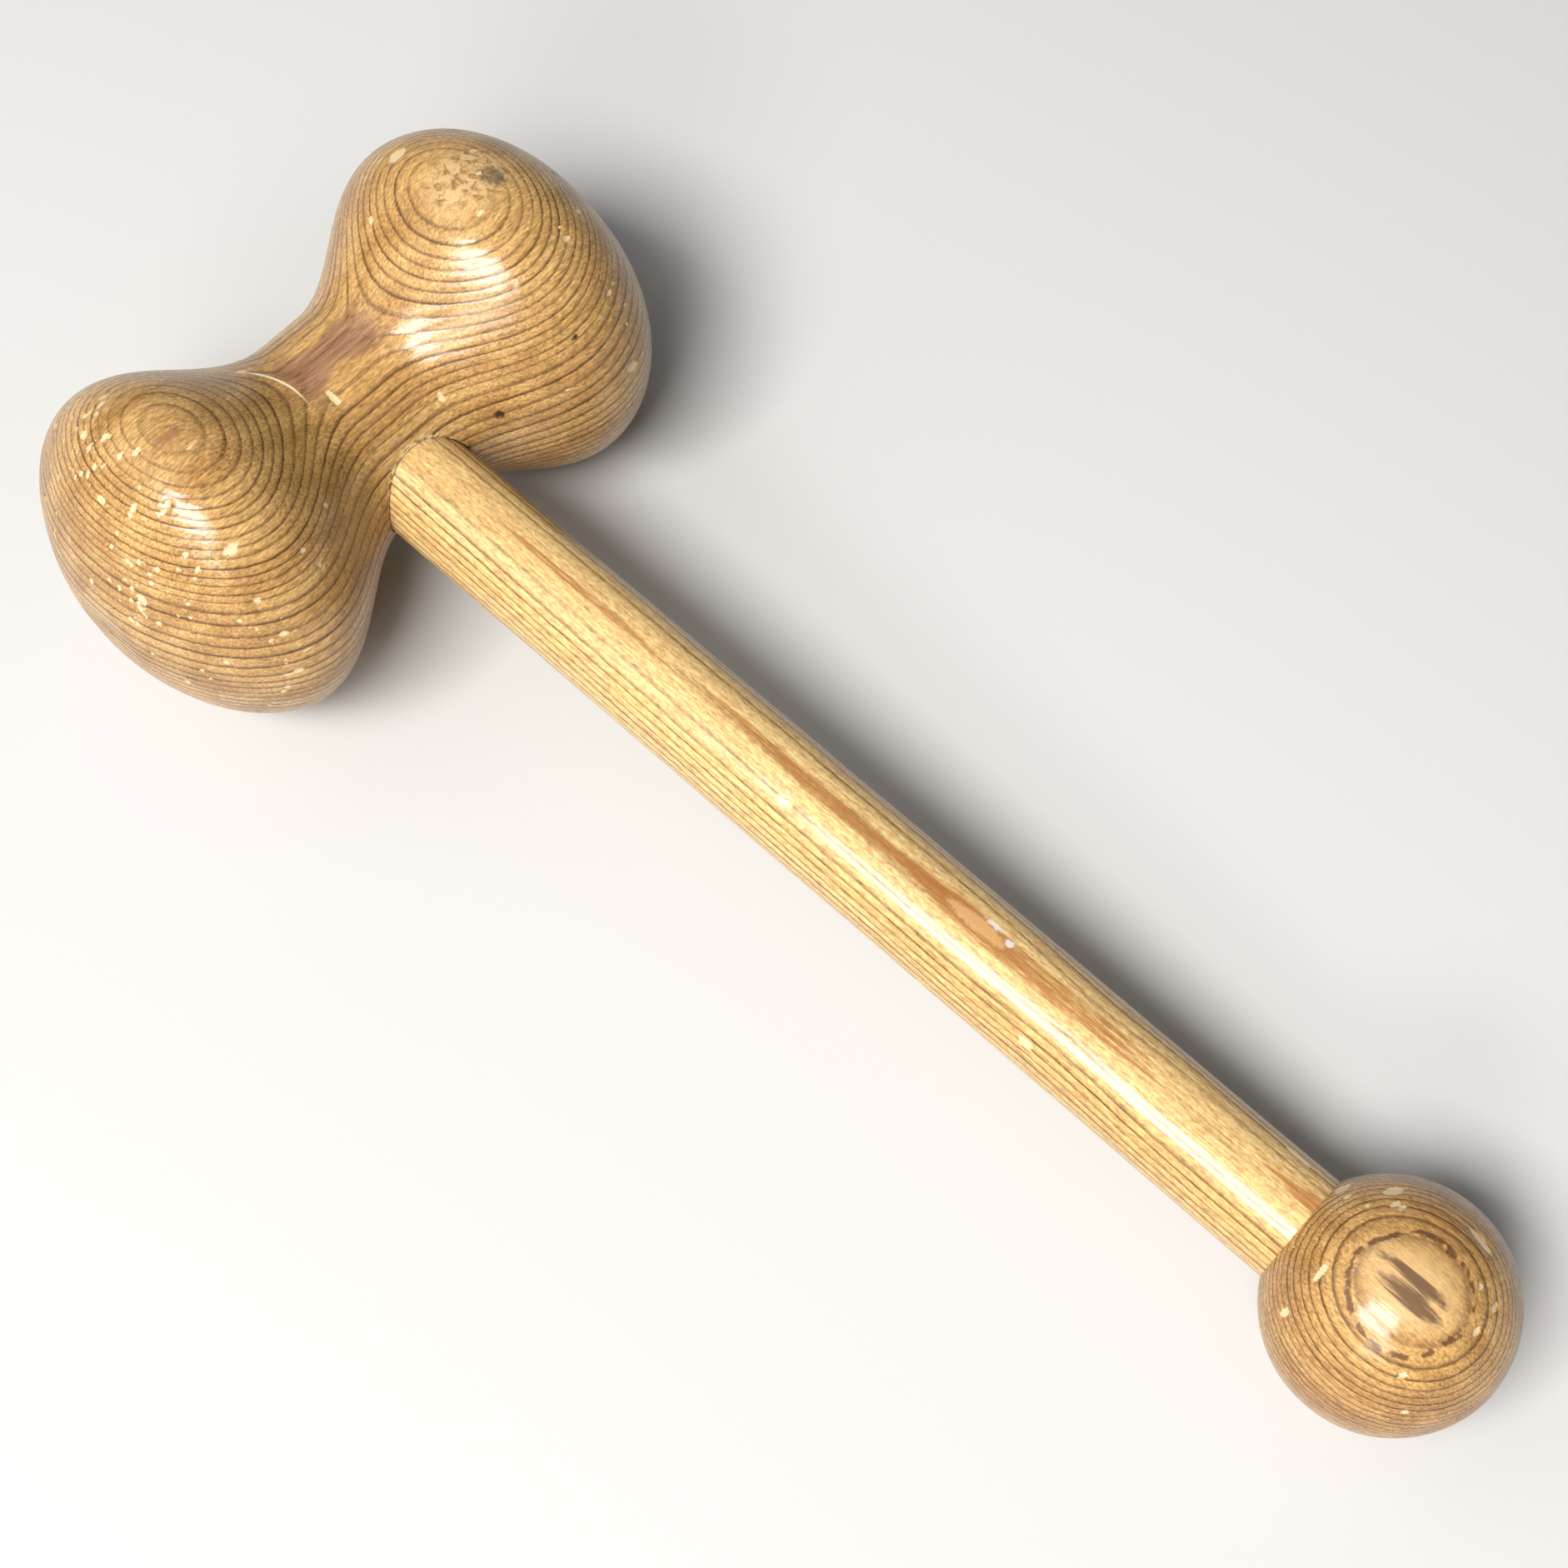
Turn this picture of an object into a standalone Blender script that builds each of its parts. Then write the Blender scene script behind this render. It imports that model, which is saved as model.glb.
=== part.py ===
"""A turned pine mallet: a dumbbell head, a round handle through its waist, and a ball on the handle's end.

It lies on its side, as it rests on a bench: both lobes of the head and the ball touch z = 0.
The origin is on the bench under the middle of the mallet. +Y is the head's axis, from face to face,
and +X runs along the handle from the head to the ball, level with the bench. The handle itself slopes
down to the ball, which is smaller than the lobes. Metres, +Z up.

The joints are those of a turned mallet. The handle passes through the waist, and its sawn end is spread
by a wedge in an oval mouth. Its other end sits in a blind socket in the ball, spread by a fox wedge,
which the floor of the socket drives home.
"""

import math

import bmesh
import bpy
from mathutils import Matrix, Vector

# ------------------------------------------------------------------ driving dimensions
HEAD_LENGTH = 0.1664  # face to face, along the head's axis, before the faces are flattened
LOBE_DIAMETER = 0.0968
LOBE_SPACING = 0.1010  # between the crowns of the two lobes
WAIST_DIAMETER = 0.0566
WAIST_FLAT = 0.0120  # the straight length at the middle of the waist
FACE_FLAT_DIAMETER = 0.0240  # the flat in the middle of each striking face
HANDLE_DIAMETER = 0.0280
HANDLE_REACH = 0.3356  # from the head's centre to the ball's centre
BALL_DIAMETER = 0.0588

GAP = 0.0003  # glue line between two pieces that fit together
SOCKET_PAST_CENTRE = 0.0080  # how far the ball's socket runs past the ball's centre
END_CHAMFER = 0.0012

# Each wedged end: how long the spread length is, how far each side spreads, and the wedge in it
HEAD_SPREAD_LENGTH = 0.0220
HEAD_SPREAD = 0.0016
HEAD_KERF_DEPTH = 0.0260
BALL_SPREAD_LENGTH = 0.0150
BALL_SPREAD = 0.0007
BALL_KERF_DEPTH = 0.0180
SAW_CUT = 0.0016  # the kerf's width at its bottom, as the saw left it
WEDGE_SHORT = 0.0030  # a wedge stops this far short of the kerf's bottom

# How finely the round shapes are divided
HEAD_SIDES = 56
HANDLE_SIDES = 40
BALL_SEGMENTS = 40
BALL_RINGS = 22
CURVE_STEPS = 10

# ------------------------------------------------------------------ worked out from them
LOBE_RADIUS = LOBE_DIAMETER / 2
WAIST_RADIUS = WAIST_DIAMETER / 2
HANDLE_RADIUS = HANDLE_DIAMETER / 2
BALL_RADIUS = BALL_DIAMETER / 2
CROWN = LOBE_SPACING / 2
FACE_REACH = HEAD_LENGTH / 2 - CROWN
SLOPE = math.asin((LOBE_RADIUS - BALL_RADIUS) / HANDLE_REACH)
HANDLE_RUN = HANDLE_REACH * math.cos(SLOPE)
HEAD_CENTRE = Vector((-(HANDLE_RUN + BALL_RADIUS - LOBE_RADIUS) / 2, 0.0, LOBE_RADIUS))
HANDLE_END = HANDLE_REACH + SOCKET_PAST_CENTRE - GAP

COLOURS = {
    "head_pine": (0.56, 0.33, 0.13, 1.0),
    "handle_pine": (0.78, 0.52, 0.23, 1.0),
    "ball_pine": (0.50, 0.29, 0.11, 1.0),
    "head_wedge_beech": (0.62, 0.42, 0.24, 1.0),
    "pommel_wedge_beech": (0.66, 0.46, 0.28, 1.0),
}
VARNISH_ROUGHNESS = 0.35


def clear_scene():
    for obj in list(bpy.data.objects):
        bpy.data.objects.remove(obj, do_unlink=True)


def new_collection(name):
    collection = bpy.data.collections.new(name)
    bpy.context.scene.collection.children.link(collection)
    return collection


def wood(name):
    material = bpy.data.materials.new(name)
    material.use_nodes = True
    shader = material.node_tree.nodes["Principled BSDF"]
    shader.inputs["Base Color"].default_value = COLOURS[name]
    shader.inputs["Roughness"].default_value = VARNISH_ROUGHNESS
    shader.inputs["Metallic"].default_value = 0.0
    return material


def object_from(shape, name, collection, parent):
    """Turns a bmesh into a named object in the mallet's own frame."""
    mesh = bpy.data.meshes.new(name)
    shape.to_mesh(mesh)
    shape.free()
    obj = bpy.data.objects.new(name, mesh)
    collection.objects.link(obj)
    obj.parent = parent
    return obj


def as_cutter(obj):
    obj.hide_render = True
    obj.display_type = "WIRE"
    return obj


def cut(obj, cutter):
    modifier = obj.modifiers.new("cut_" + cutter.name, "BOOLEAN")
    modifier.operation = "DIFFERENCE"
    modifier.solver = "EXACT"
    modifier.object = cutter


def shade_smooth(obj, crease_degrees=35.0):
    obj.data.shade_smooth()
    obj.data.set_sharp_from_angle(angle=math.radians(crease_degrees))


# ------------------------------------------------------------------ the head
def head_outline():
    """Half of the head's outline, from the middle of its face to the middle of its waist, as (radius, along)."""
    flat = FACE_FLAT_DIAMETER / 2
    start = math.asin(flat / LOBE_RADIUS)
    points = [(0.0, CROWN + FACE_REACH * math.cos(start))]
    # From the flat to the crown the lobe is a quarter of an ellipse.
    for step in range(CURVE_STEPS + 1):
        angle = start + (math.pi / 2 - start) * step / CURVE_STEPS
        points.append((LOBE_RADIUS * math.sin(angle), CROWN + FACE_REACH * math.cos(angle)))
    # From the crown to the waist it falls in a smooth S.
    waist_end = WAIST_FLAT / 2
    for step in range(1, CURVE_STEPS + 1):
        share = step / CURVE_STEPS
        drop = (1 - math.cos(math.pi * share)) / 2
        radius = LOBE_RADIUS + (WAIST_RADIUS - LOBE_RADIUS) * drop
        points.append((radius, CROWN + (waist_end - CROWN) * share))
    return points


def make_head(collection, parent):
    half = head_outline()
    outline = half + [(radius, -along) for radius, along in reversed(half)]
    shape = bmesh.new()
    verts = [shape.verts.new((radius, 0.0, along)) for radius, along in outline]
    for first, second in zip(verts, verts[1:]):
        shape.edges.new((first, second))
    head = object_from(shape, "head", collection, parent)
    head.rotation_euler = (-math.pi / 2, 0.0, 0.0)
    turned = head.modifiers.new("turned", "SCREW")
    turned.axis = "Z"
    turned.angle = 2 * math.pi
    turned.steps = HEAD_SIDES
    turned.render_steps = HEAD_SIDES
    turned.use_merge_vertices = True
    turned.merge_threshold = 0.00001
    turned.use_smooth_shade = True
    head.data.materials.append(wood("head_pine"))
    return head


# ------------------------------------------------------------------ round stock, with its wedged ends
def round_stock(sections):
    """A bar along X. Each section is (place along X, half width along Y, half height along Z)."""
    shape = bmesh.new()
    first_x, wide, high = sections[0]
    turn = Matrix.Rotation(-math.pi / 2, 4, "Y")
    bmesh.ops.create_circle(shape, cap_ends=False, radius=1.0, segments=HANDLE_SIDES, matrix=turn)
    bmesh.ops.scale(shape, vec=(1.0, wide, high), verts=shape.verts)
    bmesh.ops.translate(shape, vec=(first_x, 0.0, 0.0), verts=shape.verts)
    ring = list(shape.edges)
    ends = [list(ring)]
    for (x, wide, high), (last_x, last_wide, last_high) in zip(sections[1:], sections):
        made = bmesh.ops.extrude_edge_only(shape, edges=ring)["geom"]
        verts = [item for item in made if isinstance(item, bmesh.types.BMVert)]
        ring = [item for item in made if isinstance(item, bmesh.types.BMEdge)]
        bmesh.ops.scale(shape, vec=(1.0, wide / last_wide, high / last_high), verts=verts)
        bmesh.ops.translate(shape, vec=(x - last_x, 0.0, 0.0), verts=verts)
    ends.append(ring)
    for edges in ends:
        bmesh.ops.contextual_create(shape, geom=edges)
    bmesh.ops.recalc_face_normals(shape, faces=shape.faces)
    return shape


def handle_sections(clearance):
    """The handle's sections from its wedged end in the head to its wedged end in the ball.

    With a clearance it is the hole that the handle needs, so it also runs out past the waist.
    """
    radius = HANDLE_RADIUS + clearance
    outside = -WAIST_RADIUS
    overshoot = 0.006
    steep = HEAD_SPREAD / HEAD_SPREAD_LENGTH
    sections = [
        (outside - overshoot, radius + HEAD_SPREAD + overshoot * steep, radius),
        (outside + HEAD_SPREAD_LENGTH, radius, radius),
        (HANDLE_END - BALL_SPREAD_LENGTH, radius, radius),
    ]
    if clearance:
        sections.append((HANDLE_END + clearance, radius + BALL_SPREAD, radius))
        return sections
    spread = radius + BALL_SPREAD
    sections.append((HANDLE_END - END_CHAMFER, spread, radius))
    sections.append((HANDLE_END, spread - END_CHAMFER, radius - END_CHAMFER))
    return sections


def wedge_block(mouth_x, tip_x, mouth_thick, tip_thick, width):
    """A tapered block between mouth_x and tip_x. It is thick along Y and its width is along Z."""
    shape = bmesh.new()
    bmesh.ops.create_cube(shape, size=1.0)
    for vert in shape.verts:
        at_mouth = (vert.co.x < 0) == (mouth_x < tip_x)
        vert.co.x = mouth_x if at_mouth else tip_x
        vert.co.y *= mouth_thick if at_mouth else tip_thick
        vert.co.z *= width
    return shape


def kerf_sizes(mouth_x, depth, spread, inward):
    """(mouth, bottom, mouth width, bottom width) of the V that a spread kerf becomes.

    inward is +1 where the kerf runs along +X from its mouth, and -1 where it runs along -X.
    """
    return mouth_x, mouth_x + inward * depth, SAW_CUT + 2 * spread, SAW_CUT


def thick_at(x, sizes):
    mouth_x, bottom_x, mouth_thick, bottom_thick = sizes
    share = (x - mouth_x) / (bottom_x - mouth_x)
    return mouth_thick + (bottom_thick - mouth_thick) * share


def make_kerf(name, sizes, inward, collection, parent):
    """The saw cut, run out past the handle's end and past both of its sides."""
    past = 0.010
    mouth_x = sizes[0] - inward * past
    width = 2 * HANDLE_DIAMETER
    shape = wedge_block(mouth_x, sizes[1], thick_at(mouth_x, sizes), sizes[3], width)
    return as_cutter(object_from(shape, name, collection, parent))


def make_wedge(name, sizes, inward, mouth_x, width, collection, parent):
    """The wedge fills its kerf, apart from the glue line and the last few millimetres of the cut."""
    tip_x = sizes[1] - inward * WEDGE_SHORT
    mouth_thick = thick_at(mouth_x, sizes) - 2 * GAP
    tip_thick = thick_at(tip_x, sizes) - 2 * GAP
    shape = wedge_block(mouth_x, tip_x, mouth_thick, tip_thick, width)
    wedge = object_from(shape, name, collection, parent)
    wedge.data.materials.append(wood(name + "_beech"))
    return wedge


def make_flush_cutter(collection, parent):
    """Takes off whatever stands out of the back of the waist, flush with its curve."""
    block = bmesh.new()
    bmesh.ops.create_cube(block, size=1.0)
    bmesh.ops.scale(block, vec=(LOBE_RADIUS, HEAD_LENGTH / 2, LOBE_DIAMETER), verts=block.verts)
    bmesh.ops.translate(block, vec=(-LOBE_RADIUS / 2, 0.0, 0.0), verts=block.verts)
    waste = as_cutter(object_from(block, "flush_waste", collection, parent))
    core = bmesh.new()
    bmesh.ops.create_cone(
        core,
        cap_ends=True,
        segments=HEAD_SIDES,
        radius1=WAIST_RADIUS,
        radius2=WAIST_RADIUS,
        depth=HEAD_LENGTH,
        matrix=Matrix.Rotation(math.pi / 2, 4, "X"),
    )
    kept = as_cutter(object_from(core, "flush_core", collection, parent))
    cut(waste, kept)
    return waste


def make_handle(collection, parent, cutters):
    handle = object_from(round_stock(handle_sections(0.0)), "handle", collection, parent)
    handle.data.materials.append(wood("handle_pine"))
    for cutter in cutters:
        cut(handle, cutter)
    shade_smooth(handle)
    return handle


# ------------------------------------------------------------------ the ball
def make_ball(collection, parent):
    shape = bmesh.new()
    poles_along_x = Matrix.Rotation(math.pi / 2, 4, "Y")
    place = Matrix.Translation((HANDLE_REACH, 0.0, 0.0)) @ poles_along_x
    bmesh.ops.create_uvsphere(
        shape,
        u_segments=BALL_SEGMENTS,
        v_segments=BALL_RINGS,
        radius=BALL_RADIUS,
        matrix=place,
    )
    ball = object_from(shape, "pommel_ball", collection, parent)
    ball.data.materials.append(wood("ball_pine"))
    return ball


def main():
    clear_scene()
    parts = new_collection("mallet")
    cutters = new_collection("cutters")

    lie = bpy.data.objects.new("mallet_axis", None)
    parts.objects.link(lie)
    lie.location = HEAD_CENTRE
    lie.rotation_euler = (0.0, SLOPE, 0.0)

    socket = as_cutter(object_from(round_stock(handle_sections(GAP)), "handle_socket", cutters, lie))
    flush = make_flush_cutter(cutters, lie)
    head_kerf = kerf_sizes(-WAIST_RADIUS, HEAD_KERF_DEPTH, HEAD_SPREAD, 1)
    ball_kerf = kerf_sizes(HANDLE_END, BALL_KERF_DEPTH, BALL_SPREAD, -1)
    head_saw_cut = make_kerf("head_saw_cut", head_kerf, 1, cutters, lie)
    ball_saw_cut = make_kerf("ball_saw_cut", ball_kerf, -1, cutters, lie)

    head = make_head(parts, lie)
    cut(head, socket)
    make_handle(parts, lie, (head_saw_cut, ball_saw_cut, flush))
    ball = make_ball(parts, lie)
    cut(ball, socket)
    shade_smooth(ball)

    wedge_width = HANDLE_DIAMETER - 0.0010
    proud = -WAIST_RADIUS - 0.004
    head_wedge = make_wedge("head_wedge", head_kerf, 1, proud, wedge_width, parts, lie)
    cut(head_wedge, flush)
    make_wedge("pommel_wedge", ball_kerf, -1, HANDLE_END, wedge_width - 2 * END_CHAMFER, parts, lie)


main()
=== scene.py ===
# %% [markdown]
# # A turned pine mallet
# A mallet like this is three pieces of pine that come off a lathe: a head with two round lobes, a straight
# handle and a ball. Two small wedges hold them together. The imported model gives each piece's place and size,
# and this script builds the finished pieces on it: the shapes first, then the wood, then the light.

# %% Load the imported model
import math
import random

import bpy
import numpy as np
from mathutils import Matrix, Vector, noise


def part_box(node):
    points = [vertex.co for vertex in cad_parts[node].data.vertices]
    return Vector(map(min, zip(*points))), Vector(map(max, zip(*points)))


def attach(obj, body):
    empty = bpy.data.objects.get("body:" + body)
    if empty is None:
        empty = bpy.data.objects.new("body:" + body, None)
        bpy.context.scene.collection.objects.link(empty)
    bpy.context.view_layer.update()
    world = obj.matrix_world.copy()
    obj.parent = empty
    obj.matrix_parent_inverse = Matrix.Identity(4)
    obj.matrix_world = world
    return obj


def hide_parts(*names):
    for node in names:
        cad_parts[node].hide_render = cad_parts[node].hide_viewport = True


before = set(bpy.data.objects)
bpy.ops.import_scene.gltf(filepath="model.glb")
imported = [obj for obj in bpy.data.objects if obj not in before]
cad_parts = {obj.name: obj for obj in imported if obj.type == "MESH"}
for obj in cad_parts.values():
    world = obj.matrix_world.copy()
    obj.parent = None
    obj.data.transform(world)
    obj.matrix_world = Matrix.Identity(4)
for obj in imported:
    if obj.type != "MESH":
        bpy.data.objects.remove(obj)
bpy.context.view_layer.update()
print("CAD nodes:", sorted(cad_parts))

# %% [markdown]
# ## Where the mallet lies
# It rests on both lobes and on the ball, so its handle slopes down to the ball. The head's box gives the head's
# centre, and the ball's box gives the ball's. Every piece is easier to build on a level mallet, with its head's
# centre at the origin, the handle along +X and the head's axis along Y. `lie` then lays it on the floor.

# %% Measure the mallet
MM = 0.001

head_low, head_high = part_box("head")
ball_low, ball_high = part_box("pommel_ball")
head_centre = (head_low + head_high) / 2
lobe_radius = (head_high.z - head_low.z) / 2
ball_radius = (ball_high.y - ball_low.y) / 2
ball_centre = Vector((ball_high.x - ball_radius, 0.0, ball_low.z + ball_radius))
reach = (ball_centre - head_centre).length
slope = math.asin((head_centre.z - ball_centre.z) / reach)
lie = Matrix.Translation(head_centre) @ Matrix.Rotation(slope, 4, "Y")
print(f"lobe radius {lobe_radius:.4f}, ball radius {ball_radius:.4f}, reach {reach:.4f}")
print(f"slope {math.degrees(slope):.2f} degrees")

# %% [markdown]
# ## Turning on a lathe
# All three pieces are turned, so one helper makes them: a circle is the end of the stock, and edit mode extrudes
# it along the axis and scales each new ring to the outline's radius. Each open end is filled with one face, and
# poking it makes a fan of triangles. A Subdivision Surface then gives the smooth skin, and it keeps an even grid
# of square faces, which the dents and the grain's grooves need later. A spun profile would do as well, but its
# rings can't turn oval.

# %% A helper that turns a piece
def start_clean():
    if bpy.context.mode != "OBJECT":
        bpy.ops.object.mode_set(mode="OBJECT")
    bpy.ops.object.select_all(action="DESELECT")


def make_active(obj):
    start_clean()
    obj.select_set(True)
    bpy.context.view_layer.objects.active = obj


def turned(name, axis, rings, sides, levels):
    """A closed piece whose rings are (along, half width, half height). The axis is "X" or "Y"."""
    start_clean()
    lay = (0.0, math.pi / 2, 0.0) if axis == "X" else (math.pi / 2, 0.0, 0.0)
    unit = Vector((1, 0, 0)) if axis == "X" else Vector((0, 1, 0))
    bpy.ops.mesh.primitive_circle_add(vertices=sides, radius=1.0, location=unit * rings[0][0], rotation=lay)
    obj = bpy.context.active_object
    obj.name = name
    obj.data.name = name
    bpy.ops.object.transform_apply(location=True, rotation=True, scale=True)
    bpy.ops.object.mode_set(mode="EDIT")
    bpy.ops.mesh.select_all(action="SELECT")
    last_along, last_wide, last_high = rings[0][0], 1.0, 1.0
    for index, (along, wide, high) in enumerate(rings):
        if index:
            bpy.ops.mesh.extrude_region_move(TRANSFORM_OT_translate={"value": unit * (along - last_along)})
        grow_wide, grow_high = wide / last_wide, high / last_high
        size = (1.0, grow_wide, grow_high) if axis == "X" else (grow_wide, 1.0, grow_high)
        bpy.ops.transform.resize(value=size, center_override=unit * along)
        last_along, last_wide, last_high = along, wide, high
    bpy.ops.mesh.select_all(action="DESELECT")
    bpy.ops.mesh.select_non_manifold(
        extend=False, use_wire=False, use_multi_face=False, use_non_contiguous=False, use_verts=False
    )
    bpy.ops.mesh.edge_face_add()
    bpy.ops.mesh.poke()
    bpy.ops.mesh.select_all(action="SELECT")
    bpy.ops.mesh.normals_make_consistent(inside=False)
    bpy.ops.object.mode_set(mode="OBJECT")
    if levels:
        smooth = obj.modifiers.new("smooth", "SUBSURF")
        smooth.levels = levels
        smooth.render_levels = levels
        bpy.ops.object.modifier_apply(modifier=smooth.name)
    return obj


def count(obj):
    obj.data.calc_loop_triangles()
    return f"{obj.name}: {len(obj.data.vertices)} points, {len(obj.data.loop_triangles)} triangles"


# %% [markdown]
# ## The head's outline
# Each lobe is a quarter of an ellipse from its worn face to its crown, and falls in an S to the waist. The two
# lobes of a hand-turned head are never quite alike: the left one is a little sharper at its face.

# %% The head, turned
CROWN = 50.5 * MM
WAIST = 28.3 * MM
WAIST_FLAT = 6.0 * MM
FACE_END = 82.2 * MM
FACE_FLAT = 12.0 * MM


def lobe_outline(steps, fullness):
    """(along, radius) from the worn face to the middle of the waist."""
    start = math.asin(FACE_FLAT / lobe_radius)
    depth = (FACE_END - CROWN) / math.cos(start)
    points = [(FACE_END + 0.1 * MM, FACE_FLAT * 0.35), (FACE_END, FACE_FLAT * 0.72)]
    for step in range(steps + 1):
        angle = start + (math.pi / 2 - start) * step / steps
        bulge = fullness * math.sin(2 * angle) ** 2
        points.append((CROWN + (depth + bulge) * math.cos(angle), (lobe_radius + bulge) * math.sin(angle)))
    for step in range(1, steps + 1):
        share = step / steps
        drop = (1 - math.cos(math.pi * share)) / 2
        dip = 0.5 * MM * math.sin(math.pi * share) ** 2 * (1 - 2 * share)
        points.append((CROWN + (WAIST_FLAT - CROWN) * share, lobe_radius + (WAIST - lobe_radius) * drop + dip))
    return points


right = lobe_outline(15, 0.9 * MM)
left = lobe_outline(15, -0.7 * MM)
rings = [(-along, radius, radius) for along, radius in left]
rings += [(along, radius, radius) for along, radius in reversed(right)]
head = turned("turned_head", "Y", rings, 84, 2)
print(count(head))

# %% [markdown]
# ## The handle
# The handle is a straight dowel. Its end in the head is spread sideways by a wedge, so the last rings there are
# oval, and its other end has a small chamfer where it seats in the ball.

# %% The handle, turned
HANDLE = 14.0 * MM
SPREAD = 1.6 * MM
SPREAD_LENGTH = 22.0 * MM
GAP = 0.3 * MM
HANDLE_END = reach + 8.0 * MM - GAP


def bar_rings(clearance, first, last, step):
    """Rings of the handle, or of the hole that it needs when there is a clearance."""
    places = np.arange(first, last, step).tolist() + [last]
    made = []
    for along in places:
        spread = SPREAD * max(0.0, (SPREAD_LENGTH - WAIST - along) / SPREAD_LENGTH)
        made.append((along, HANDLE + clearance + spread, HANDLE + clearance))
    return made


rings = bar_rings(0.0, -36 * MM, HANDLE_END - 1.2 * MM, 4.2 * MM)
rings.append((HANDLE_END - 0.3 * MM, HANDLE - 0.9 * MM, HANDLE - 0.9 * MM))
rings.append((HANDLE_END, HANDLE - 2.4 * MM, HANDLE - 2.4 * MM))
handle = turned("dowel_handle", "X", rings, 48, 2)
print(count(handle))

# %% [markdown]
# ## The ball
# The ball is turned on the handle's axis, a hair flatter along it, with a small flat lip where it meets the
# handle. Its far pole is where the lathe's centre held it.

# %% The ball, turned
BALL_AXIAL = 28.95 * MM
BALL_STEPS = 36
FIRST_ANGLE = 8
LAST_ANGLE = 174
rings = []
for step in range(BALL_STEPS + 1):
    angle = math.radians(FIRST_ANGLE + (LAST_ANGLE - FIRST_ANGLE) * step / BALL_STEPS)
    radius = ball_radius * math.sin(angle)
    rings.append((reach - BALL_AXIAL * math.cos(angle), radius, radius))
rings.insert(0, (reach - BALL_AXIAL, 1.6 * MM, 1.6 * MM))
rings.append((reach + BALL_AXIAL * 0.9995, 1.3 * MM, 1.3 * MM))
ball = turned("turned_ball", "X", rings, 60, 2)
print(count(ball))

# %% [markdown]
# ## How the rings run through the wood
# A plank's growth rings are nearly flat sheets. Where a turned surface lies flat to them it shows a target of
# ovals, and where it cuts across them it shows close lines. So each piece's rings are described as sheets in
# space: the direction they face, how they curve, and how far apart they are. The same few values move the
# surface, for the grooves along the dark lines, and drive the colour in the material.

# %% The ring sheets of each piece
# Millimetres from the piece's middle. depth = facing . p + x * (bend . p) + bow * y * y, and dark late wood
# lies where the ring number is whole: (depth - first) / apart. Above each knee there are that many more rings
# per millimetre, or fewer where it is negative, and below `under` there are more too. A swirl shifts the sheets
# in a bell round one place along the piece.
RINGS = {
    "head": dict(
        middle=0.0, facing=(-0.102, 0.009, 1.0), bend=(-0.00214, -0.0004, -0.0005), bow=-0.0019,
        first=2.0, apart=3.7, knees=((14.5, 0.206), (33.0, 0.14)), under=(-10.0, 0.10), swirl=(0.0, 20.0, 0.0),
    ),
    "handle": dict(
        middle=180.0, facing=(0.0017, 0.0575, 1.0), bend=(-0.000037, -0.00085, 0.0), bow=-0.0212,
        first=1.2, apart=2.38, knees=((8.2, -0.065),), under=(-20.0, 0.0), swirl=(65.0, 18.0, -1.05),
    ),
    "ball": dict(
        middle=reach / MM, facing=(0.038, -0.152, 1.0), bend=(0.00067, 0.00038, 0.00038), bow=-0.00574,
        first=23.3, apart=1.78, knees=((22.6, -0.225),), under=(-40.0, 0.0), swirl=(0.0, 20.0, 0.0),
    ),
}


def ring_number(piece, points):
    """The ring number at each point, given in metres on the level mallet."""
    sheet = RINGS[piece]
    p = points / MM - np.array([sheet["middle"], 0.0, 0.0])
    depth = p @ np.array(sheet["facing"]) + p[:, 0] * (p @ np.array(sheet["bend"])) + sheet["bow"] * p[:, 1] ** 2
    where, width, dip = sheet["swirl"]
    depth = depth + dip * np.exp(-(((p[:, 0] - where) / width) ** 2))
    number = (depth - sheet["first"]) / sheet["apart"]
    for knee, more in sheet["knees"]:
        number = number + more * np.maximum(0.0, depth - knee)
    return number - sheet["under"][1] * np.maximum(0.0, sheet["under"][0] - depth)


# %% [markdown]
# ## Raised grain
# The varnish has sunk along the dark lines, so each line is a groove up to a tenth of a millimetre deep, with a
# rib between it and the next. A slow unevenness on top is left from hand sanding.

# %% Move the surfaces
def read_points(obj):
    points = np.empty(len(obj.data.vertices) * 3)
    obj.data.vertices.foreach_get("co", points)
    return points.reshape(-1, 3)


def read_normals(obj):
    normals = np.empty(len(obj.data.vertices) * 3)
    obj.data.vertex_normals.foreach_get("vector", normals)
    return normals.reshape(-1, 3)


def write_points(obj, points):
    obj.data.vertices.foreach_set("co", points.ravel())
    obj.data.update()


def raise_grain(obj, piece, height, unevenness, scale):
    points, normals = read_points(obj), read_normals(obj)
    number = ring_number(piece, points)
    late = np.cos(2 * math.pi * number)
    groove = np.clip(late, 0, 1) ** 2
    slow = np.array([noise.noise(Vector(p) * scale) for p in points])
    write_points(obj, points + normals * (slow * unevenness - groove * height)[:, None])


raise_grain(head, "head", 0.10 * MM, 0.25 * MM, 45)
raise_grain(handle, "handle", 0.05 * MM, 0.12 * MM, 60)
raise_grain(ball, "ball", 0.08 * MM, 0.15 * MM, 60)
print("grooves and unevenness done")

# %% [markdown]
# ## Dents and chips
# A mallet's lobes are bruised where they strike. Each blow leaves a shallow dent, and where the varnish chips off
# the raw wood shows pale. The larger chips are placed one by one, in millimetres on the level mallet: the ball's
# from its own centre, the others from the head's. A seeded scatter adds the small ones, most of them on the lobes.

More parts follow.
